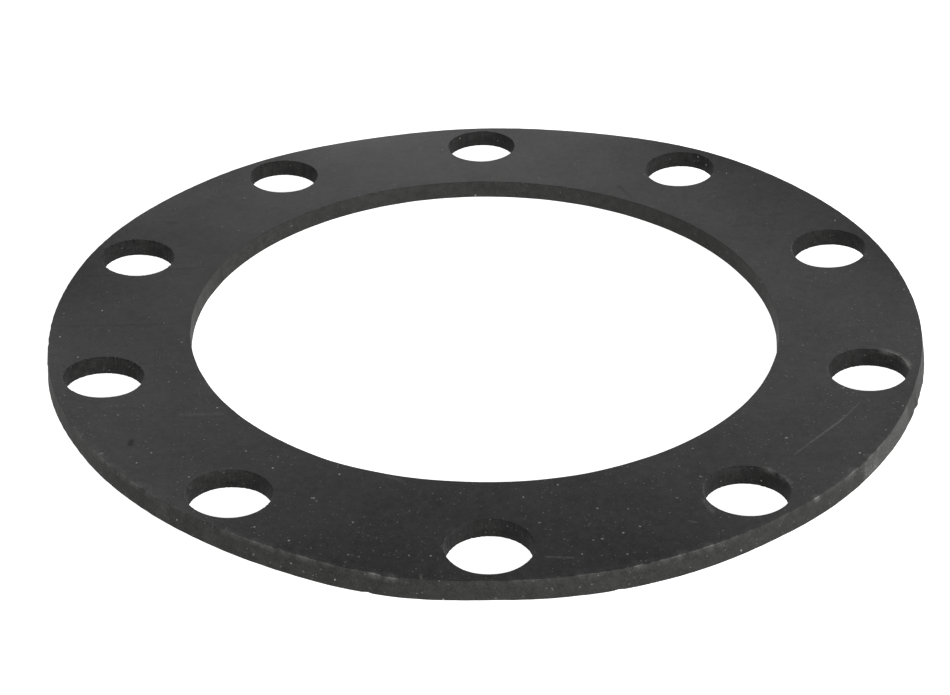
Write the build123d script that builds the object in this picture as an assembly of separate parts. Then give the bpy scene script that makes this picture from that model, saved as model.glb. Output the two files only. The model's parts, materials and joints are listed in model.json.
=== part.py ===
from build123d import *

import os

# Full-face rubber flange gasket, for a 150 mm (6 inch) pipe flange with ten bolts.
# A flat ring cut in one piece from rubber sheet, with a circle of bolt holes between its bore and its rim.
# The origin is at the centre of the underside. +Z points up through the bore, and one bolt hole lies on -Y.
# All lengths are in millimetres and all angles in degrees.

# The sheet, and the cuts in it from the bore outwards
sheet_thickness = 4.8  # stock 3/16 inch sheet
bore_diameter = 152.4  # a 6 inch line
seal_land = 13.8  # width of unbroken rubber between the bore and the bolt holes
bolt_hole_diameter = 20.0
rim_land = 2.5  # width of the thin strip left between the bolt holes and the rim

# The ring of bolts
bolt_count = 10
first_bolt_angle = -90.0

# The cutter drags the skin of the rubber down a little along every edge that it makes
cut_edge_bevel = 0.25

# What follows from them
bolt_circle_diameter = bore_diameter + 2 * seal_land + bolt_hole_diameter
outer_diameter = bolt_circle_diameter + bolt_hole_diameter + 2 * rim_land


def ring_outline():
    """The flat ring from the bore to the rim, with no holes yet."""
    return Circle(outer_diameter / 2) - Circle(bore_diameter / 2)


def bolt_hole_outlines():
    """One circle for each bolt, evenly spaced on the bolt circle."""
    places = PolarLocations(bolt_circle_diameter / 2, bolt_count, start_angle=first_bolt_angle)
    return [place * Circle(bolt_hole_diameter / 2) for place in places]


def soften_cut_edges(sheet):
    """Breaks the rims of the bore, the bolt holes and the outside, on both faces of the sheet."""
    rims = sheet.edges().filter_by(GeomType.CIRCLE)
    return chamfer(rims, cut_edge_bevel)


def make_gasket():
    """The gasket: the outline cut straight down through the sheet, and its edges softened."""
    outline = ring_outline() - bolt_hole_outlines()
    sheet = extrude(outline, sheet_thickness)
    return soften_cut_edges(sheet)


def main():
    flange_gasket = make_gasket()
    flange_gasket.label = "flange_gasket"
    os.makedirs("parts", exist_ok=True)
    export_step(flange_gasket, "parts/flange_gasket.step")


if __name__ == "__main__":
    main()
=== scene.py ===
import json
import math
import bmesh
import bpy
import numpy as np
from mathutils import Matrix, Vector


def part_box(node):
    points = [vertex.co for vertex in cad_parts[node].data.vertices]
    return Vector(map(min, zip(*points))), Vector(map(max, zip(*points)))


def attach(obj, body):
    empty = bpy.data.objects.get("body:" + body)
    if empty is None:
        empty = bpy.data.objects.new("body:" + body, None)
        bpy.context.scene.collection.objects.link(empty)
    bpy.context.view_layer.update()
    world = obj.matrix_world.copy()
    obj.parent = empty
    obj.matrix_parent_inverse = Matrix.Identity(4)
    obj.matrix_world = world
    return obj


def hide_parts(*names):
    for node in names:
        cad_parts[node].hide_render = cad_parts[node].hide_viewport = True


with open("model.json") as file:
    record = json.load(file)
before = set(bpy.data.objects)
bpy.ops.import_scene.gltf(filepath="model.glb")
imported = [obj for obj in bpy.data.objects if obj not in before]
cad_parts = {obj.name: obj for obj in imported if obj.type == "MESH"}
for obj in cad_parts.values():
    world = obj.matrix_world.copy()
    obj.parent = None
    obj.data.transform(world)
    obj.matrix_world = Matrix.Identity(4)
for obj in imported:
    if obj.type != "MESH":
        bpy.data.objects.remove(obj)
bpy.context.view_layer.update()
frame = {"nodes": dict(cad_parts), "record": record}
print("frame loaded:", sorted(frame["nodes"]))

mm = 0.001  # sizes below are written in millimetres and turned into metres

# Sizes that the frame gives
mounts = {m["name"]: m for m in frame["record"]["mounts"]}
lowCorner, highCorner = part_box("flange_gasket")
rimRadius = max(highCorner.x, highCorner.y, -lowCorner.x, -lowCorner.y)
sheetThickness = highCorner.z - lowCorner.z
boreRadius = mounts["bore"]["dims"]["r_mm"] * mm
boltCircleRadius = mounts["bolt_circle"]["dims"]["pcd_mm"] / 2 * mm
boltHoleRadius = mounts["bolt_circle"]["dims"]["hole_r_mm"] * mm
boltCount = mounts["bolt_circle"]["dims"]["count"]
firstOpening = next(o for o in frame["record"]["physics"]["openings"] if o["name"] == "bolt_hole_1")
firstBoltPlace = np.mean(firstOpening["box_m"], axis=0)
firstBoltAngle = math.atan2(firstBoltPlace[1], firstBoltPlace[0])
boltShare = 2 * math.pi / boltCount  # the angle of the ring that belongs to one bolt

# What a user would change about the rubber ring: its mesh, its curl and how roughly it was cut
ring = {
    "edgeRound": 0.05 * mm,
    "meshPointsPerHole": 260,
    "fewestPointsPerSide": 8,
    "mergeDistance": 0.002 * mm,
    "faceRows": 11,
    "undersideRows": 6,
    "roundRows": 2,
    "wallRows": 8,
    "nearRow": 0.004,  # one more row lies this near each end of a face or a wall, as a share of it
    # the loose ring curls up at its rim
    "bowl": 3.3 * mm,
    # and is wavy: for each number of waves, the cosine and sine in millimetres that grow as r^2, then
    # those that grow as r^4
    "curlWaves": {2: ((-1.25, -0.3), (2.1, 1.0)), 4: ((0.2, 0.1), (-0.55, -0.15)),
                  5: ((0, 0), (0.1, 0.05)), 6: ((0, 0), (0, -0.1))},
    # the thin strip outside each bolt hole stands a little proud
    "stripLift": 0.25 * mm,
    # the knife leaned outwards, so the underside is a little wider than the upper face
    "rimTop": 0.05 * mm,
    "rimBottom": 0.85 * mm,
    "rimTopWaves": {1: (0.05, 0), 2: (0, 0.12), 3: (-0.08, 0.08), 4: (0.03, 0.09)},
    "rimBottomWaves": {1: (0.05, 0), 2: (-0.05, 0.05), 3: (0.08, 0), 4: (0, 0.07)},
    # the bore was cut a little large and off the centre of the rim
    "boreCentre": (-0.23 * mm, 0.7 * mm),
    "boreTop": 0.26 * mm,
    "boreBottom": 0.07 * mm,
    "boreTopWaves": {1: (0.04, 0), 2: (0.2, -0.42)},
    "boreBottomWaves": {1: (-0.07, -0.22), 2: (0.28, -0.23)},
    # where the knife strayed and where it left nicks and burrs: the direction in degrees, how far out the
    # edge goes there in millimetres, and half the width in degrees
    "rimTopFlaws": {190: (-0.2, 4), 246: (-0.75, 9), 259.3: (0.7, 1.5), 292: (-0.5, 18), 338: (-0.25, 8)},
    "rimBottomFlaws": {189.5: (0.4, 0.2), 190: (-0.2, 4), 210: (-0.2, 6), 230: (0.1, 4), 246: (-0.32, 6),
                       256.6: (-0.4, 0.2), 260.5: (0.25, 4), 270: (-0.27, 4), 284: (-0.4, 0.2),
                       304: (-0.15, 5), 324: (-0.2, 7)},
    "boreTopFlaws": {242: (0.25, 5), 266: (-0.2, 6), 286: (0.17, 6), 326: (0.13, 8)},
    "boreBottomFlaws": {},
    # how rough the knife left the rim and the bore in millimetres, and the fewest and most waves in it
    "knifeRoughness": 0.02,
    "rimRoughWaves": (9, 200),
    "boreRoughWaves": (7, 60),
    # the directions in which the rim is ragged, how ragged in millimetres, and over how many radians
    "rimRagged": {184: 0.1, 340: 0.06},
    "rimRaggedReach": 0.08,
    # the bolt holes were punched one at a time, by eye
    "boltCentre": (-0.05 * mm, 0.11 * mm),
    "holeTop": -0.04 * mm,
    "holeBottom": -0.24 * mm,
    # the next four are counted from the bolt hole on -Y: how far each sits from its place, how much too wide
    # it is, how far the punch came out away from the centre of the ring and round it, and how ragged it left
    # the upper rim, all in millimetres
    "holeOffPlace": {0: (0, -0.25), 1: (-0.05, -0.1), 2: (-0.1, -0.1), 4: (0.05, 0), 5: (0.05, 0.05),
                     6: (-0.15, 0), 7: (-0.1, 0), 8: (0.15, 0.1), 9: (0.1, 0)},
    "holeOversize": (0.05, 0, -0.1, 0.1, 0.15, 0.2, 0.1, -0.15, -0.05, -0.05),
    "holeLean": ((-0.15, 0), (0.25, -0.05), (0.65, -0.05), (0.7, -0.15), (0.3, -0.1), (0.25, 0),
                 (0.2, 0.25), (0.15, 0.1), (0.3, 0), (0.15, 0.1)),
    "holeRagged": (0.06, 0.03, 0.03, 0.04, 0.03, 0.03, 0.06, 0.16, 0.12, 0.06),
    # the fewest and most waves in that raggedness, its share at the sides of a hole, and how much more of it
    # there is towards +Y
    "holeTornWaves": (20, 100),
    "holeTornShare": (0.6, 0.4),
    # the slow unevenness down the whole wall of a hole, and the roughness of its lower rim
    "holeSlow": 0.03 * mm,
    "holeSlowWaves": (2, 7),
    "holeRough": 0.03 * mm,
    "holeRoughWaves": (12, 60),
    # the skin of a punched wall ends this far outside the hole, and fades over this much before it
    "punchedReach": 1.5 * mm,
    "punchedFade": 1.0 * mm,
    # each unevenness has its own random phases; those of the holes are counted up from these
    "seeds": {"rimTop": 11, "rimBottom": 12, "boreTop": 21, "boreBottom": 22,
              "holeSlow": 300, "holeTorn": 350, "holeRough": 390},
    # the arcs of the upper rim that are painted pale, as start, end and strength, with directions in degrees
    # they are partly rubbed wear and partly a painted highlight on the edge; -49.4 to -48.3 is a painted
    # glint
    "rimRubsAndGlints": ((-152, -130, 0.45), (-130, -122, 0.15), (-123, -106, 0.42), (-106, -99, 0.15),
                (-103.4, -100, 0.85), (-92, -82, 0.12), (-83, -58, 0.32), (-74, -72.8, 0.85),
                (-69.2, -67.6, 0.75), (-66, -63, 0.7), (-60, -28, 0.15), (-49.4, -48.3, 0.9),
                (-44, -33, 0.65)),
    # the same for the upper rims of the bolt holes, with directions from the centre of each hole, how far
    # outside the hole the pale line lies, and how many times narrower it is than that of the rim
    # on holes 1 and 2 the pale line is a painted glint where the upper rim catches the light
    "holeRubsAndGlints": {0: (110, 150, 0.2), 1: (2, 66, 1.3), 2: (-16, 68, 1.5), 9: (70, 160, 0.25)},
    "holeRubAndGlintOffset": 0.3 * mm,
    "holeRubAndGlintSharpness": 1.5,
}


def waves(angle, table):
    # Sum over the table of a cos(k angle) + b sin(k angle), with a and b in millimetres
    total = np.zeros_like(angle)
    for k, (a, b) in table.items():
        total += a * np.cos(k * angle) + b * np.sin(k * angle)
    return total * mm


def unevenness(angle, seed, lowest, highest):
    # Sum of sines of every whole frequency from lowest to highest, each with a random phase,
    # and scaled to a standard deviation of one
    rng = np.random.default_rng(seed)
    k = np.arange(lowest, highest + 1)
    phase = rng.uniform(0, 2 * math.pi, k.size)
    total = np.sin(angle[..., None] * k + phase).sum(-1)
    return total / math.sqrt(k.size / 2)


def curlHeight(x, y):
    # Height = bowl r^2 + waves that grow as r^2 and r^4 + a lift of r^12 - 0.4 r^4 outside each hole,
    # with r as a share of the rim
    r = np.hypot(x, y) / rimRadius
    a = np.arctan2(y, x)
    height = r ** 2 * ring["bowl"]
    for k, (inner, outer) in ring["curlWaves"].items():
        height += r ** 2 * waves(a, {k: inner}) + r ** 4 * waves(a, {k: outer})
    strip = np.cos(boltCount * (a - firstBoltAngle))
    return height + ring["stripLift"] * (r ** 12 - 0.4 * r ** 4) * strip


def apart(angle, degrees):
    # The size of the angle between a direction and one given in degrees, in radians
    return np.abs((angle - math.radians(degrees) + math.pi) % (2 * math.pi) - math.pi)


def flaws(angle, table):
    # Sum over the table of depth e^-(d / halfWidth)^2, with d as the angle from the flaw
    total = np.zeros_like(angle)
    for degrees, (depth, halfWidth) in table.items():
        total += depth * np.exp(-(apart(angle, degrees) / math.radians(halfWidth)) ** 2)
    return total * mm


def cutLine(angle, name, rough, roughWaves):
    # One outline of the rim or the bore, as how far it lies outside its true circle: a constant, slow
    # waves, the roughness of the knife and the flaws, all added up
    line = ring[name] + waves(angle, ring[name + "Waves"])
    line = line + rough * mm * unevenness(angle, ring["seeds"][name], *roughWaves)
    return line + flaws(angle, ring[name + "Flaws"])


def rimShift(angle, share):
    # How far the outer cut lies from the true circle: upper outline at share 1, lower outline at share 0,
    # and straight between them
    rough = ring["knifeRoughness"]
    for degrees, depth in ring["rimRagged"].items():
        rough = rough + depth * np.exp(-(apart(angle, degrees) / ring["rimRaggedReach"]) ** 2)
    top = cutLine(angle, "rimTop", rough, ring["rimRoughWaves"])
    bottom = cutLine(angle, "rimBottom", rough, ring["rimRoughWaves"])
    return bottom + (top - bottom) * share


def boreShift(angle, share):
    # The same for the bore
    top = cutLine(angle, "boreTop", ring["knifeRoughness"], ring["boreRoughWaves"])
    bottom = cutLine(angle, "boreBottom", ring["knifeRoughness"], ring["boreRoughWaves"])
    return bottom + (top - bottom) * share


def holeShift(angle, share, index):
    # The same for one bolt hole: slow waves down the whole wall, a rough lower rim, and a ragged upper
    # rim that fades as share^2 below it and is most torn towards +Y
    seeds = {name: seed + index for name, seed in ring["seeds"].items()}
    sides, more = ring["holeTornShare"]
    torn = sides + more * np.sin(angle + firstBoltAngle + index * boltShare)
    slow = ring["holeSlow"] * unevenness(angle, seeds["holeSlow"], *ring["holeSlowWaves"])
    ragged = torn * ring["holeRagged"][index] * mm
    ragged = ragged * unevenness(angle, seeds["holeTorn"], *ring["holeTornWaves"])
    rough = ring["holeRough"] * unevenness(angle, seeds["holeRough"], *ring["holeRoughWaves"])
    oversize = ring["holeOversize"][index] * mm
    bottom = oversize + ring["holeBottom"] + slow + rough
    top = oversize + ring["holeTop"] + slow + ragged
    return bottom + (top - bottom) * share ** 2


def thinEnded(shares):
    # The same shares from 0 to 1 with one more very near each end, so that the shading turns on the rounded
    # edge alone
    near = ring["nearRow"]
    return np.concatenate([shares[:1], [near], shares[1:-1], [1 - near], shares[-1:]])


def cutProfile(rows):
    # Down a cut edge: a quarter round, a straight wall and a quarter round. Gives how far each row is set
    # back from the wall, e (1 - sin or cos of the turn), and its height as a share of the thickness
    e = ring["edgeRound"]
    turn = np.linspace(0, math.pi / 2, ring["roundRows"] + 1)
    setBack = np.concatenate([e * (1 - np.sin(turn)), np.zeros(rows - 1), e * (1 - np.cos(turn))])
    wall = sheetThickness - e - thinEnded(np.linspace(0, 1, rows - 1)) * (sheetThickness - 2 * e)
    height = np.concatenate([sheetThickness - e * (1 - np.cos(turn)), wall[1:-1], e * (1 - np.sin(turn))])
    return setBack, height / sheetThickness


def wallMask(share):
    # 1 down the cut wall and 0 on the skin that the knife dragged over its rounded edges
    rounded = ring["edgeRound"] / sheetThickness
    return np.clip(np.minimum(share, 1 - share) / rounded, 0, 1)


def boltSectorOutline():
    # The loop round one bolt's share of the ring, as rays from the hole's centre: the angle of each ray,
    # the point where it meets the rim, a side line or the bore, and which of them it meets. The bolt lies
    # on +X here
    e = ring["edgeRound"]
    outer, inner, centre, half = rimRadius - e, boreRadius + e, boltCircleRadius, boltShare / 2
    cornerOut = math.atan2(outer * math.sin(half), outer * math.cos(half) - centre)
    cornerIn = math.atan2(inner * math.sin(half), inner * math.cos(half) - centre)
    count = ring["meshPointsPerHole"] / (2 * math.pi)
    spans = (2 * cornerOut, cornerIn - cornerOut, 2 * (math.pi - cornerIn))
    nRim, nSide, nBore = (max(ring["fewestPointsPerSide"], round(span * count)) for span in spans)
    rimRay = np.linspace(-cornerOut, cornerOut, nRim, endpoint=False)
    sideRay = np.linspace(cornerOut, cornerIn, nSide, endpoint=False)
    boreRay = np.linspace(cornerIn, 2 * math.pi - cornerIn, nBore, endpoint=False)
    backRay = 2 * math.pi - np.linspace(cornerIn, cornerOut, nSide, endpoint=False)
    rimReach = -centre * np.cos(rimRay) + np.sqrt(outer ** 2 - (centre * np.sin(rimRay)) ** 2)
    sideReach = centre * math.sin(half) / np.sin(sideRay - half)
    boreReach = -centre * np.cos(boreRay) - np.sqrt(inner ** 2 - (centre * np.sin(boreRay)) ** 2)
    backReach = centre * math.sin(half) / np.sin(2 * math.pi - backRay - half)
    ray = np.concatenate([rimRay, sideRay, boreRay, backRay])
    reach = np.concatenate([rimReach, sideReach, boreReach, backReach])
    onRim = np.zeros(ray.size, bool)
    onRim[:nRim + 1] = True
    onBore = np.zeros(ray.size, bool)
    onBore[nRim + nSide:nRim + nSide + nBore + 1] = True
    x, y = centre + reach * np.cos(ray), reach * np.sin(ray)
    return ray, x, y, onRim, onBore


def rowShares(rows):
    # Shares of the way from the hole to the edge of its sector, 0.5 - 0.5 cos(pi t), so close together at
    # both ends
    t = np.linspace(0, 1, rows - 1)
    return thinEnded(0.5 - 0.5 * np.cos(math.pi * t))


def gridFaces(rows, columns, first):
    # Quads of a grid of points, row after row, with its columns in a closed loop
    r = np.arange(rows - 1)[:, None] * columns
    c = np.arange(columns)[None, :]
    right = (c + 1) % columns
    quads = np.stack([r + c, r + right, r + columns + right, r + columns + c], -1)
    return quads.reshape(-1, 4) + first


def edgeShift(x, y, share):
    # Where a point of the true ring lies on the real one: moved as the bore is at the bore, as the rim is
    # at the rim, and evenly between them
    radius, angle = np.hypot(x, y), np.arctan2(y, x)
    e = ring["edgeRound"]
    along = (radius - boreRadius - e) / (rimRadius - boreRadius - 2 * e)
    move = boreShift(angle, share) * (1 - along) + rimShift(angle, share) * along
    offX, offY = (c * (1 - along) for c in ring["boreCentre"])
    return x + move * np.cos(angle) + offX, y + move * np.sin(angle) + offY


def holeCentre(index):
    # Where a bolt hole was punched, with its direction from the centre of the ring
    turn = firstBoltAngle + index * boltShare
    offX, offY = ring["holeOffPlace"].get(index, (0, 0))
    x = boltCircleRadius * math.cos(turn) + ring["boltCentre"][0] + offX * mm
    y = boltCircleRadius * math.sin(turn) + ring["boltCentre"][1] + offY * mm
    return x, y, turn


def boltSector(index):
    # One bolt's share of the ring. A point is hole(v) (1 - s) + outline(v) s on the faces, and runs down
    # the wall of the hole between them
    centreX, centreY, turn = holeCentre(index)
    ray, x, y, onRim, onBore = boltSectorOutline()
    cosTurn, sinTurn = math.cos(turn), math.sin(turn)
    outlineX, outlineY = x * cosTurn - y * sinTurn, x * sinTurn + y * cosTurn
    direction = ray + turn
    setBack, share = cutProfile(ring["wallRows"])
    shift = holeShift(ray[None, :], share[:, None], index)
    wallRadius = boltHoleRadius + setBack[:, None] + shift
    outwards, sideways = (lean * mm * (1 - share[:, None]) for lean in ring["holeLean"][index])
    wallX = centreX + wallRadius * np.cos(direction) + outwards * cosTurn - sideways * sinTurn
    wallY = centreY + wallRadius * np.sin(direction) + outwards * sinTurn + sideways * cosTurn
    wallZ = np.repeat(share[:, None] * sheetThickness, ray.size, 1)

    def face(rows, level, holeX, holeY):
        s = rowShares(rows)[:, None]
        edgeX, edgeY = edgeShift(outlineX, outlineY, level)
        height = np.full((rows + 1, ray.size), level * sheetThickness)
        return holeX * (1 - s) + edgeX * s, holeY * (1 - s) + edgeY * s, height

    topX, topY, topZ = face(ring["faceRows"], 1.0, wallX[0], wallY[0])
    lowX, lowY, lowZ = face(ring["undersideRows"], 0.0, wallX[-1], wallY[-1])
    gridX = np.concatenate([topX[:0:-1], wallX, lowX[1:]])
    gridY = np.concatenate([topY[:0:-1], wallY, lowY[1:]])
    gridZ = np.concatenate([topZ[:0:-1], wallZ, lowZ[1:]])
    cut = np.concatenate([np.zeros(ring["faceRows"]), wallMask(share), np.zeros(ring["undersideRows"])])
    return gridX, gridY, gridZ, np.repeat(cut[:, None], ray.size, 1)


def ringWall(angle, radius, outward, shift, centre):
    # The cut wall of the rim or the bore: a profile of quarter round, wall and quarter round, carried
    # round the ring at the radius + the shift of the cut there
    setBack, share = cutProfile(ring["wallRows"])
    r = radius - outward * setBack[:, None] + shift(angle[None, :], share[:, None])
    x, y = centre[0] + r * np.cos(angle), centre[1] + r * np.sin(angle)
    z = np.repeat(share[:, None] * sheetThickness, angle.size, 1)
    return x, y, z, np.repeat(wallMask(share)[:, None], angle.size, 1)


def arcShare(angle, start, end):
    # 1 on an arc given in degrees, falling to 0 over the outer third of each half: 3 - 3 d / half, held
    # between 0 and 1
    middle, half = (start + end) / 2, math.radians((end - start) / 2)
    return np.clip(3 - 3 * apart(angle, middle) / half, 0, 1)


def edgeGap(x, y, z):
    # How far a point lies from the upper rim of the ring or of the nearest hole, in millimetres, and how
    # much that rim is painted pale there, as rubbed wear and as painted glints
    angle = np.arctan2(y, x)
    depth = sheetThickness - z
    gap = np.abs(np.hypot(x, y) - rimRadius - rimShift(angle, 1.0)) + depth
    rubAndGlint = np.zeros_like(x)
    for start, end, strength in ring["rimRubsAndGlints"]:
        rubAndGlint = np.maximum(rubAndGlint, strength * arcShare(angle, start, end))
    for index, (start, end, strength) in ring["holeRubsAndGlints"].items():
        centreX, centreY, turn = holeCentre(index)
        besideX, besideY = x - centreX, y - centreY
        around = np.arctan2(besideY, besideX)
        rubAndGlintRadius = boltHoleRadius + holeShift(around - turn, 1.0, index) + ring["holeRubAndGlintOffset"]
        holeGap = np.abs(np.hypot(besideX, besideY) - rubAndGlintRadius) * ring["holeRubAndGlintSharpness"] + depth
        rubAndGlint = np.where(holeGap < gap, strength * arcShare(around, start, end), rubAndGlint)
        gap = np.minimum(gap, holeGap)
    return gap / mm, rubAndGlint


def inBoltHole(x, y):
    # 1 on the wall of a bolt hole, falling evenly to 0 where the punched skin ends
    turn = np.arctan2(y, x) - firstBoltAngle
    nearest = firstBoltAngle + boltShare * np.round(turn / boltShare)
    reach = np.hypot(x - boltCircleRadius * np.cos(nearest), y - boltCircleRadius * np.sin(nearest))
    return np.clip((boltHoleRadius + ring["punchedReach"] - reach) / ring["punchedFade"], 0, 1)


def makeRing():
    # The ten bolt sectors and the walls of the rim and the bore, curled up, joined and set on the floor.
    # The skin says for each point how far it is cut, how near its edge is and how pale that edge is painted
    # there as rub and painted glint, and how far it is punched
    grids = [boltSector(index) for index in range(boltCount)]
    ray, x, y, onRim, onBore = boltSectorOutline()
    angle = np.arctan2(y, x)
    turns = firstBoltAngle + boltShare * np.arange(boltCount)[:, None]
    rimAngles = (turns + np.sort(angle[onRim])[None, :-1]).ravel()
    boreAngles = (turns + np.sort(angle[onBore])[None, :-1]).ravel()
    grids.append(ringWall(rimAngles, rimRadius, 1, rimShift, (0, 0)))
    grids.append(ringWall(boreAngles, boreRadius, -1, boreShift, ring["boreCentre"]))

    points, quads, first = [], [], 0
    skin = {"cut": [], "gap": [], "rubAndGlint": [], "punched": []}
    for gridX, gridY, gridZ, gridCut in grids:
        rows, columns = gridX.shape
        points.append(np.stack([gridX, gridY, gridZ + curlHeight(gridX, gridY)], -1).reshape(-1, 3))
        quads.append(gridFaces(rows, columns, first))
        gridGap, gridRubAndGlint = edgeGap(gridX, gridY, gridZ)
        gridPunched = gridCut * inBoltHole(gridX, gridY)
        for values, part in zip(skin.values(), (gridCut, gridGap, gridRubAndGlint, gridPunched)):
            values.append(part.ravel())
        first += rows * columns
    points, quads = np.concatenate(points), np.concatenate(quads)
    rest = points[:, 2].min()
    points[:, 2] -= rest  # the lowest point of the curled ring rests on the floor

    mesh = bpy.data.meshes.new("gasket_rubber")
    mesh.from_pydata(points, [], quads.tolist())
    for name, values in skin.items():
        attribute = mesh.attributes.new(name, "FLOAT", "POINT")
        attribute.data.foreach_set("value", np.concatenate(values).astype(np.float32))
    shape = bmesh.new()
    shape.from_mesh(mesh)
    bmesh.ops.remove_doubles(shape, verts=shape.verts, dist=ring["mergeDistance"])
    bmesh.ops.recalc_face_normals(shape, faces=shape.faces)
    openEdges = sum(1 for e in shape.edges if not e.is_manifold)
    shape.to_mesh(mesh)
    shape.free()
    mesh.shade_smooth()
    mesh.update()
    piece = bpy.data.objects.new("gasket_rubber", mesh)
    bpy.context.scene.collection.objects.link(piece)
    counts = (len(mesh.vertices), "points,", 2 * len(mesh.polygons), "triangles,", openEdges, "open edges")
    print("ring made:", *counts)
    return piece, rest


gasket, restDrop = makeRing()


def plainMaterial(name, color, roughness):
    material = bpy.data.materials.new(name)
    material.use_nodes = True
    shader = material.node_tree.nodes["Principled BSDF"]
    shader.inputs["Base Color"].default_value = (*color, 1)
    shader.inputs["Roughness"].default_value = roughness
    return material


def addNode(tree, kind, **settings):
    node = tree.nodes.new("ShaderNode" + kind)
    for name, value in settings.items():
        setattr(node, name, value)
    return node


def feed(tree, socket, value):
    # A socket takes either the output of another node or a plain value
    if isinstance(value, bpy.types.NodeSocket):
        tree.links.new(value, socket)
    else:
        socket.default_value = value


def compute(tree, operation, *values):
    node = addNode(tree, "Math", operation=operation)
    for socket, value in zip(node.inputs, values):
        feed(tree, socket, value)
    return node.outputs[0]


def combine(tree, operation, *values):
    # The same over any number of values, taken from the left
    total = values[0]
    for value in values[1:]:
        total = compute(tree, operation, total, value)
    return total


def computeVector(tree, operation, *values):
    node = addNode(tree, "VectorMath", operation=operation)
    for socket, value in zip(node.inputs, values):
        feed(tree, socket, value)
    return node.outputs["Value" if operation in ("LENGTH", "DISTANCE", "DOT_PRODUCT") else "Vector"]


def fade(tree, value, start, end, low=0.0, high=1.0):
    # low up to start, high from end on, and a smooth step between them; start may lie above end
    node = addNode(tree, "MapRange", interpolation_type="SMOOTHSTEP")
    ends = (value, start, end, low, high) if start < end else (value, end, start, high, low)
    for socket, number in zip(node.inputs, ends):
        feed(tree, socket, number)
    return node.outputs["Result"]


def mixValues(tree, share, first, second):
    # first at share 0 and second at share 1
    node = addNode(tree, "Mix", data_type="FLOAT")
    for socket, value in zip(node.inputs[:1] + node.inputs[2:4], (share, first, second)):
        feed(tree, socket, value)
    return node.outputs[0]


def mixColors(tree, share, first, second):
    # The same for colours
    node = addNode(tree, "Mix", data_type="RGBA")
    feed(tree, node.inputs["Factor"], share)
    for socket, color in zip((node.inputs[6], node.inputs[7]), (first, second)):
        feed(tree, socket, color if isinstance(color, bpy.types.NodeSocket) else (*color, 1))
    return node.outputs[2]


def noise(tree, place, scale, detail, roughness):
    node = addNode(tree, "TexNoise")
    for name, value in (("Vector", place), ("Scale", scale), ("Detail", detail), ("Roughness", roughness)):
        feed(tree, node.inputs[name], value)
    return node.outputs["Fac"]


def specks(tree, place, cell, radius, share, power):
    # One grain at random in each cell of a grid: 1 within 0.4 of its radius and 0 at its radius. Only a share
    # of the grains is kept, and the strength of each is its own random number to a power
    node = addNode(tree, "TexVoronoi")
    feed(tree, node.inputs["Vector"], place)
    node.inputs["Scale"].default_value = 1 / cell
    grain = fade(tree, node.outputs["Distance"], radius / cell, 0.4 * radius / cell)
    draw = addNode(tree, "SeparateColor")
    feed(tree, draw.inputs[0], node.outputs["Color"])
    kept = compute(tree, "LESS_THAN", draw.outputs[0], share)
    strength = compute(tree, "POWER", draw.outputs[1], power)
    return combine(tree, "MULTIPLY", grain, kept, strength)


def stroke(tree, place, start, end, halfWidth):
    # 1 along the line from start to end, falling smoothly to 0 at halfWidth from it
    a, b = Vector((*start, 0)) * mm, Vector((*end, 0)) * mm
    along = b - a
    fromStart = computeVector(tree, "SUBTRACT", place, a)
    reached = computeVector(tree, "DOT_PRODUCT", fromStart, along)
    share = compute(tree, "DIVIDE", reached, max(along.length_squared, 1e-9))
    held = addNode(tree, "Clamp")
    feed(tree, held.inputs["Value"], share)
    scaled = addNode(tree, "VectorMath", operation="SCALE")
    scaled.inputs[0].default_value = along
    feed(tree, scaled.inputs["Scale"], held.outputs[0])
    gap = computeVector(tree, "LENGTH", computeVector(tree, "SUBTRACT", fromStart, scaled.outputs["Vector"]))
    return fade(tree, gap, halfWidth * mm, 0.0)


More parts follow.
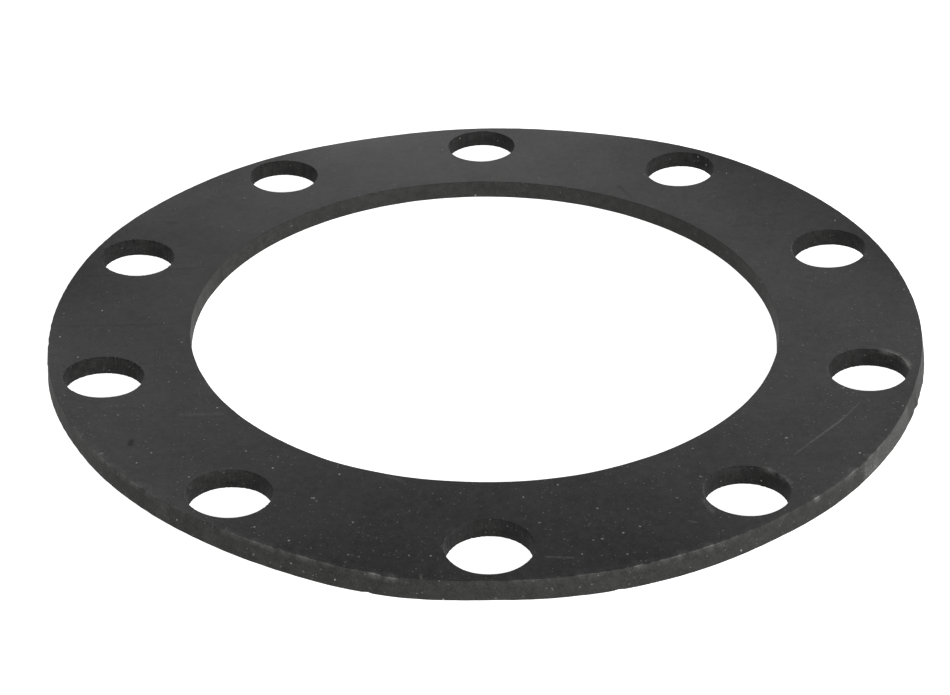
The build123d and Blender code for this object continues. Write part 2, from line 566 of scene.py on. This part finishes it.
# What a user would change about the rubber's skin
rubber = {
    "faceColor": (0.012, 0.012, 0.012),
    "cutColor": (0.0128, 0.0128, 0.0118),
    "punchedColor": (0.0145, 0.0145, 0.0142),
    "paleColor": (0.45, 0.45, 0.43),
    "darkColor": (0.004, 0.004, 0.004),
    "faceRoughness": 0.40,
    "cutRoughness": 0.75,
    "soiledRoughness": 0.3,  # how much rougher under dust and soil
    "faceGloss": 0.51,
    "cutGloss": 0.30,
    "punchedGloss": 0.13,
    # how much duller the skin is towards the near side, towards the rim, and towards the far part of the
    # rim, and the shares of the radius between which the dulling towards the rim rises
    "nearDulling": 0.38,
    "rimDulling": 0.16,
    "farRimDulling": 0.52,
    "rimDullingRise": (0.7, 1.0),
    "coarseBloom": 0.2,
    "mediumBloom": 0.06,
    "fineBloom": 0.12,
    "bloomRise": (0.3, 0.7),
    # dust lies thicker the other way along this axis, and this share of it lies on the cut walls
    "dustAxis": (-0.2, 1.0, 0.0),
    "wallDust": 0.6,
    # its grains lie one to a cell at most: the share of cells that hold one at the far side, how much more it
    # is at the near side, and the greatest strength of a grain and the power of its random number
    "smallGrains": {"cell": 1.0 * mm, "radius": 0.24 * mm, "farShare": 0.17, "nearMore": 0.38,
                    "strength": 0.35, "power": 1.6},
    "bigGrains": {"cell": 2.4 * mm, "radius": 0.32 * mm, "farShare": 0.18, "nearMore": 0.6,
                  "strength": 1.0, "power": 3.3},
    # how pale the rubbed edges and the painted edge glints are
    "rubAndGlintStrength": 0.33,
    "streakStretch": (1, 1, 0.06),  # the knife draws its streaks down the wall
    "punchedStreaks": 0.3,
    "bumpStrength": 0.5,
    "bumpDistance": 0.02 * mm,
    # noises: scale for each metre, detail and roughness
    "noises": {
        "coarse": (90, 3, 0.5),
        "medium": (500, 3, 0.6),
        "fine": (2400, 2, 0.6),
        "drift": (60, 3, 0.6),
        "broken": (250, 4, 0.7),
        "grit": (1500, 2, 0.8),
        "smear": (400, 3, 0.7),
        "grain": (1400, 3, 0.6),
        "streak": (1300, 3, 0.6),
    },
    # fades: where one starts and ends, and its values there if they aren't 0 and 1
    "fades": {
        "mottle": (0.55, 1.45, 0.55, 1.45),
        "uneven": (0.75, 1.25, -0.006, 0.006),
        "nearer": (0.08, -0.09),  # metres along the axis of the dust
        "drift": (0.35, 0.65, 0.5, 1.5),
        "rubAndGlintLine": (0.35, 0.05),  # millimetres from the edge, and so is the next one
        "rubAndGlintBand": (2.0, 0.3, 0.0, 0.4),
        "broken": (0.35, 0.65),
        "grit": (0.35, 0.65, 0.3, 1.0),
        "smear": (0.45, 0.75, 0.0, 0.022),
        "leftSide": (-0.02, -0.08),  # metres along X
    },
    # marks on the upper face, from one point to another in millimetres, with half their width and strength
    "paleMarks": {
        "longScratchA": ((71.5, -66.8), (76.0, -61.9), 0.4, 0.12),
        "longScratchB": ((76.0, -61.9), (84.0, -53.7), 0.5, 0.2),
        "longScratchC": ((83.2, -54.6), (86.4, -50.8), 0.4, 0.19),
        "longScratchD": ((86.9, -50.2), (90.2, -45.8), 0.4, 0.13),
        "scuffByHole": ((48.7, -84.6), (50.0, -88.9), 1.1, 0.15),
        "shortScratch": ((44.4, -92.1), (46.0, -92.9), 0.4, 0.16),
        "frontScratch": ((12.2, -104.2), (18.0, -104.7), 0.5, 0.14),
        "leftScuff": ((-73.6, -47.2), (-64.1, -46.2), 1.2, 0.07),
        "boreScuff": ((-23.0, -73.0), (-19.8, -74.6), 1.0, 0.1),
        "leftRimScuffA": ((-100.6, -50.0), (-92.2, -65.0), 1.0, 0.03),
        "leftRimScuffB": ((-92.2, -65.0), (-84.1, -78.2), 0.8, 0.02),
        "frontTick": ((-14.8, -110.1), (-14.7, -112.2), 0.5, 0.2),
        "grainRight": ((70.5, -59.7), (70.7, -59.7), 0.4, 0.9),
        "grainFront": ((24.7, -98.1), (24.9, -98.1), 0.4, 0.9),
        "grainMiddle": ((11.1, -91.8), (11.4, -91.8), 0.35, 0.6),
        "grainByHole": ((42.5, -83.2), (42.7, -83.2), 0.35, 0.5),
        "grainLeftA": ((-39.9, -81.9), (-39.5, -81.9), 0.45, 0.8),
        "grainLeftB": ((-38.9, -83.1), (-38.7, -83.1), 0.35, 0.5),
        "grainRim": ((-70.9, -77.0), (-70.7, -77.0), 0.35, 0.4),
        "grainOnEdge": ((-90.0, -66.4), (-89.8, -66.3), 0.7, 0.6),
    },
    "darkMarks": {
        "leftDot": ((-83.8, -61.9), (-83.8, -60.1), 1.25, 0.9),
        "farDot": ((-88.7, 51.2), (-88.2, 51.2), 2.0, 0.35),
        "rightSmudgeA": ((84.5, 51.5), (85.5, 51.5), 1.5, 0.3),
        "rightSmudgeB": ((71.0, 46.5), (71.8, 46.5), 1.5, 0.3),
        "farNick": ((40.2, 72.5), (43.3, 65.8), 1.0, 0.45),
        "levelStreakA": ((-109.2, 19.5), (-99.3, 21.2), 0.7, 0.25),
        "levelStreakB": ((-86.3, 25.1), (-67.0, 28.8), 0.7, 0.25),
        "levelStreakC": ((-110.1, -6.5), (-82.2, -3.2), 0.7, 0.25),
    },
    # the same for pale marks on the outer wall
    "wallMarks": {
        "rightStain": ((101.3, -49.4), (91.5, -66.0), 3.0, 0.08),
        "rightGrit": ((91.2, -67.0), (87.8, -71.4), 1.6, 0.14),
        "leftSmudgeA": ((-62.5, -94.2), (-61.3, -95.0), 1.8, 0.03),
        "leftSmudgeB": ((-73.8, -85.5), (-72.6, -86.7), 2.2, 0.03),
    },
}


def totalStrokes(tree, place, name):
    # The strongest at each point of the marks of one kind
    strokes = [compute(tree, "MULTIPLY", stroke(tree, place, start, end, halfWidth), strength)
               for start, end, halfWidth, strength in rubber[name].values()]
    return combine(tree, "MAXIMUM", *strokes)


def faded(tree, value, name):
    return fade(tree, value, *rubber["fades"][name])


def texture(tree, place, name):
    return noise(tree, place, *rubber["noises"][name])


def skinSockets(tree):
    # What every finish of the skin reads: the place, the place on the plan, and the skin's values from
    # the mesh
    place = addNode(tree, "TexCoord").outputs["Object"]
    parts = addNode(tree, "SeparateXYZ")
    feed(tree, parts.inputs[0], place)
    skin = {"place": place, "x": parts.outputs["X"], "y": parts.outputs["Y"]}
    skin["onPlan"] = computeVector(tree, "MULTIPLY", place, (1, 1, 0))
    for name in ("cut", "gap", "rubAndGlint", "punched"):
        skin[name] = addNode(tree, "Attribute", attribute_name=name).outputs["Fac"]
    for name in ("coarse", "medium", "fine"):
        skin[name] = texture(tree, place, name)
    skin["mottle"] = compute(tree, "ADD", skin["medium"], skin["fine"])
    return skin


def dustOn(tree, skin):
    # Dust = the strongest of small and big grains, which lie thicker towards the near right and in
    # drifts, and thinner on the cut walls
    nearer = faded(tree, computeVector(tree, "DOT_PRODUCT", skin["place"], rubber["dustAxis"]), "nearer")
    drifts = faded(tree, texture(tree, skin["place"], "drift"), "drift")
    grains = []
    for kind in (rubber["smallGrains"], rubber["bigGrains"]):
        share = compute(tree, "MULTIPLY_ADD", nearer, kind["nearMore"], kind["farShare"])
        share = compute(tree, "MULTIPLY", share, drifts)
        grain = specks(tree, skin["place"], kind["cell"], kind["radius"], share, kind["power"])
        grains.append(compute(tree, "MULTIPLY", grain, kind["strength"]))
    thinning = fade(tree, skin["cut"], 0.0, 1.0, 1.0, rubber["wallDust"])
    return compute(tree, "MULTIPLY", combine(tree, "MAXIMUM", *grains), thinning)


def rubbedAndGlintingEdges(tree, skin):
    # The upper edges are painted pale in places, as rubbed wear and as painted glints where they catch the
    # light: a broken line with a faint wide band beside it
    line = compute(tree, "ADD", faded(tree, skin["gap"], "rubAndGlintLine"), faded(tree, skin["gap"], "rubAndGlintBand"))
    broken = faded(tree, texture(tree, skin["place"], "broken"), "broken")
    return combine(tree, "MULTIPLY", line, skin["rubAndGlint"], broken, rubber["rubAndGlintStrength"])


def scratchesOn(tree, skin):
    # Pale marks on the face, and marks and smears on the cut walls, all gritty
    grit = faded(tree, texture(tree, skin["place"], "grit"), "grit")
    smears = faded(tree, texture(tree, skin["place"], "smear"), "smear")
    smears = compute(tree, "MULTIPLY", smears, faded(tree, skin["x"], "leftSide"))
    onWall = compute(tree, "MAXIMUM", totalStrokes(tree, skin["onPlan"], "wallMarks"), smears)
    onWall = compute(tree, "MULTIPLY", onWall, skin["cut"])
    uncut = compute(tree, "SUBTRACT", 1.0, skin["cut"])
    onFace = compute(tree, "MULTIPLY", totalStrokes(tree, skin["onPlan"], "paleMarks"), uncut)
    return compute(tree, "MULTIPLY", compute(tree, "MAXIMUM", onFace, onWall), grit)


def glossOf(tree, skin):
    # Gloss = that of the skin, the cut or the punched wall, times 1 plus the uneven bloom on it
    half = rubber["coarseBloom"] / 2
    bloom = compute(tree, "ADD", 1.0, fade(tree, skin["coarse"], *rubber["bloomRise"], -half, half))
    for name in ("medium", "fine"):
        depth = rubber[name + "Bloom"]
        bloom = compute(tree, "ADD", bloom, fade(tree, skin[name], *rubber["bloomRise"], -depth, depth))
    # On the skin, it is also times 1 + near y - t (rim + farRim y), with y as a share of the rim and t
    # rising from 0 to 1 towards the rim
    y = compute(tree, "DIVIDE", skin["y"], rimRadius)
    radius = compute(tree, "DIVIDE", computeVector(tree, "LENGTH", skin["onPlan"]), rimRadius)
    t = fade(tree, radius, *rubber["rimDullingRise"])
    atRim = compute(tree, "MULTIPLY_ADD", y, rubber["farRimDulling"], rubber["rimDulling"])
    rimLoss = compute(tree, "MULTIPLY", t, atRim)
    skinGloss = compute(tree, "MULTIPLY_ADD", y, rubber["nearDulling"], 1.0)
    skinGloss = compute(tree, "SUBTRACT", skinGloss, rimLoss)
    skinGloss = compute(tree, "MULTIPLY", skinGloss, rubber["faceGloss"])
    gloss = mixValues(tree, skin["cut"], skinGloss, rubber["cutGloss"])
    gloss = mixValues(tree, skin["punched"], gloss, rubber["punchedGloss"])
    return compute(tree, "MULTIPLY", gloss, bloom)


def bumpOf(tree, skin):
    # Height = fine grain everywhere, and streaks drawn down the cut walls by the knife
    grain = texture(tree, skin["place"], "grain")
    stretched = computeVector(tree, "MULTIPLY", skin["place"], rubber["streakStretch"])
    smoothing = fade(tree, skin["punched"], 0.0, 1.0, 1.0, rubber["punchedStreaks"])
    streaks = combine(tree, "MULTIPLY", texture(tree, stretched, "streak"), skin["cut"], smoothing)
    bump = addNode(tree, "Bump")
    bump.inputs["Strength"].default_value = rubber["bumpStrength"]
    bump.inputs["Distance"].default_value = rubber["bumpDistance"]
    feed(tree, bump.inputs["Height"], compute(tree, "ADD", streaks, grain))
    return bump.outputs["Normal"]


def rubberMaterial():
    material = bpy.data.materials.new("blackRubber")
    material.use_nodes = True
    tree = material.node_tree
    shader = tree.nodes["Principled BSDF"]
    skin = skinSockets(tree)

    # Colour = skin, cut or punched rubber, mottled, then pale where dusty, scratched, rubbed or given a
    # painted glint on an edge, then dark where soiled
    base = mixColors(tree, skin["cut"], rubber["faceColor"], rubber["cutColor"])
    base = mixColors(tree, skin["punched"], base, rubber["punchedColor"])
    mottled = addNode(tree, "Mix", data_type="RGBA", blend_type="MULTIPLY")
    mottled.inputs["Factor"].default_value = 1.0
    feed(tree, mottled.inputs[6], base)
    feed(tree, mottled.inputs[7], faded(tree, skin["mottle"], "mottle"))
    # pale also holds the painted glints on the upper edges of the rim and the bolt holes
    pale = combine(tree, "MAXIMUM", scratchesOn(tree, skin), rubbedAndGlintingEdges(tree, skin), dustOn(tree, skin))
    dark = totalStrokes(tree, skin["onPlan"], "darkMarks")
    color = mixColors(tree, pale, mottled.outputs[2], rubber["paleColor"])
    feed(tree, shader.inputs["Base Color"], mixColors(tree, dark, color, rubber["darkColor"]))

    # Roughness = that of the skin or the cut, a little uneven, and rougher under dust and soil
    rough = fade(tree, skin["cut"], 0.0, 1.0, rubber["faceRoughness"], rubber["cutRoughness"])
    soiled = compute(tree, "MULTIPLY", compute(tree, "ADD", pale, dark), rubber["soiledRoughness"])
    rough = combine(tree, "ADD", rough, faded(tree, skin["mottle"], "uneven"), soiled)
    feed(tree, shader.inputs["Roughness"], rough)

    feed(tree, shader.inputs["Specular IOR Level"], glossOf(tree, skin))
    feed(tree, shader.inputs["Normal"], bumpOf(tree, skin))
    print("rubber made:", len(tree.nodes), "nodes")
    return material


gasket.data.materials.append(rubberMaterial())

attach(gasket, "root")
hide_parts("flange_gasket")

# A plain pale floor, wide enough to fill the view, which glows enough to hide the ring's shadow
studio = {
    "floorSize": 6.0,
    "floorDrop": 0.2 * mm,  # keeps the floor clear of the rubber that rests on it
    "floorColor": (0.8, 0.8, 0.8),
    "floorRoughness": 0.9,
    "floorGlow": 1.0,
    "roomLight": 0.05,
}

# Softboxes round the ring, all aimed at its centre: place, width, height and power in watts
softboxes = {
    "backLow": ((0.0, 1.3, 0.35), 2.0, 0.5, 4.9),
    "rightFront": ((0.9, -0.9, 0.4), 0.8, 0.6, 19.5),
    "rightBack": ((0.9, 0.9, 0.4), 0.8, 0.6, 8.1),
    "leftFront": ((-0.9, -0.9, 0.4), 0.8, 0.6, 7.0),
}


def makeFloor():
    half = studio["floorSize"] / 2
    corners = [(-half, -half, 0), (half, -half, 0), (half, half, 0), (-half, half, 0)]
    mesh = bpy.data.meshes.new("floor")
    mesh.from_pydata(corners, [], [(0, 1, 2, 3)])
    floor = bpy.data.objects.new("floor", mesh)
    bpy.context.scene.collection.objects.link(floor)
    floor.location.z = -studio["floorDrop"]
    material = plainMaterial("paleFloor", studio["floorColor"], studio["floorRoughness"])
    shader = material.node_tree.nodes["Principled BSDF"]
    shader.inputs["Emission Color"].default_value = (1, 1, 1, 1)
    shader.inputs["Emission Strength"].default_value = studio["floorGlow"]
    mesh.materials.append(material)


def makeSoftbox(name, place, width, height, power):
    light = bpy.data.lights.new(name, "AREA")
    light.shape = "RECTANGLE"
    light.size, light.size_y, light.energy = width, height, power
    lamp = bpy.data.objects.new(name, light)
    bpy.context.scene.collection.objects.link(lamp)
    lamp.location = place
    lamp.rotation_euler = (-Vector(place)).to_track_quat("-Z", "Y").to_euler()


makeFloor()
for name, (place, width, height, power) in softboxes.items():
    makeSoftbox(name, place, width, height, power)

world = bpy.data.worlds.new("studioWorld")
bpy.context.scene.world = world
world.use_nodes = True
world.node_tree.nodes["Background"].inputs["Color"].default_value = (1, 1, 1, 1)
world.node_tree.nodes["Background"].inputs["Strength"].default_value = studio["roomLight"]
bpy.context.scene.view_settings.view_transform = "Standard"
print("studio made:", len(softboxes), "softboxes")

# The camera looks along +Y and down on the ring
viewpoint = {
    "elevation": 31.60,
    "roll": -0.666,
    "distance": 512.3 * mm,
    "aim": (-2.65 * mm, -3.27 * mm),  # sideways and upwards, square to the view
    "sensor": 36,
    "lens": 73.512,
}


def makeCamera():
    elevation, roll = math.radians(viewpoint["elevation"]), math.radians(viewpoint["roll"])
    forward = Vector((0, math.cos(elevation), -math.sin(elevation)))
    right = Vector((1, 0, 0))
    up = right.cross(forward)
    place = -forward * viewpoint["distance"] + right * viewpoint["aim"][0] + up * viewpoint["aim"][1]
    place.z -= restDrop  # the view is set for the ring before it is put down on the floor
    rolledRight = right * math.cos(roll) + up * math.sin(roll)
    rolledUp = up * math.cos(roll) - right * math.sin(roll)
    axes = Matrix((rolledRight, rolledUp, -forward)).transposed()
    data = bpy.data.cameras.new("camera")
    data.sensor_width = viewpoint["sensor"]
    data.lens = viewpoint["lens"]
    camera = bpy.data.objects.new("camera", data)
    bpy.context.scene.collection.objects.link(camera)
    camera.matrix_world = Matrix.Translation(place) @ axes.to_4x4()
    bpy.context.scene.camera = camera
    print("camera set:", data.lens, "mm lens")


makeCamera()
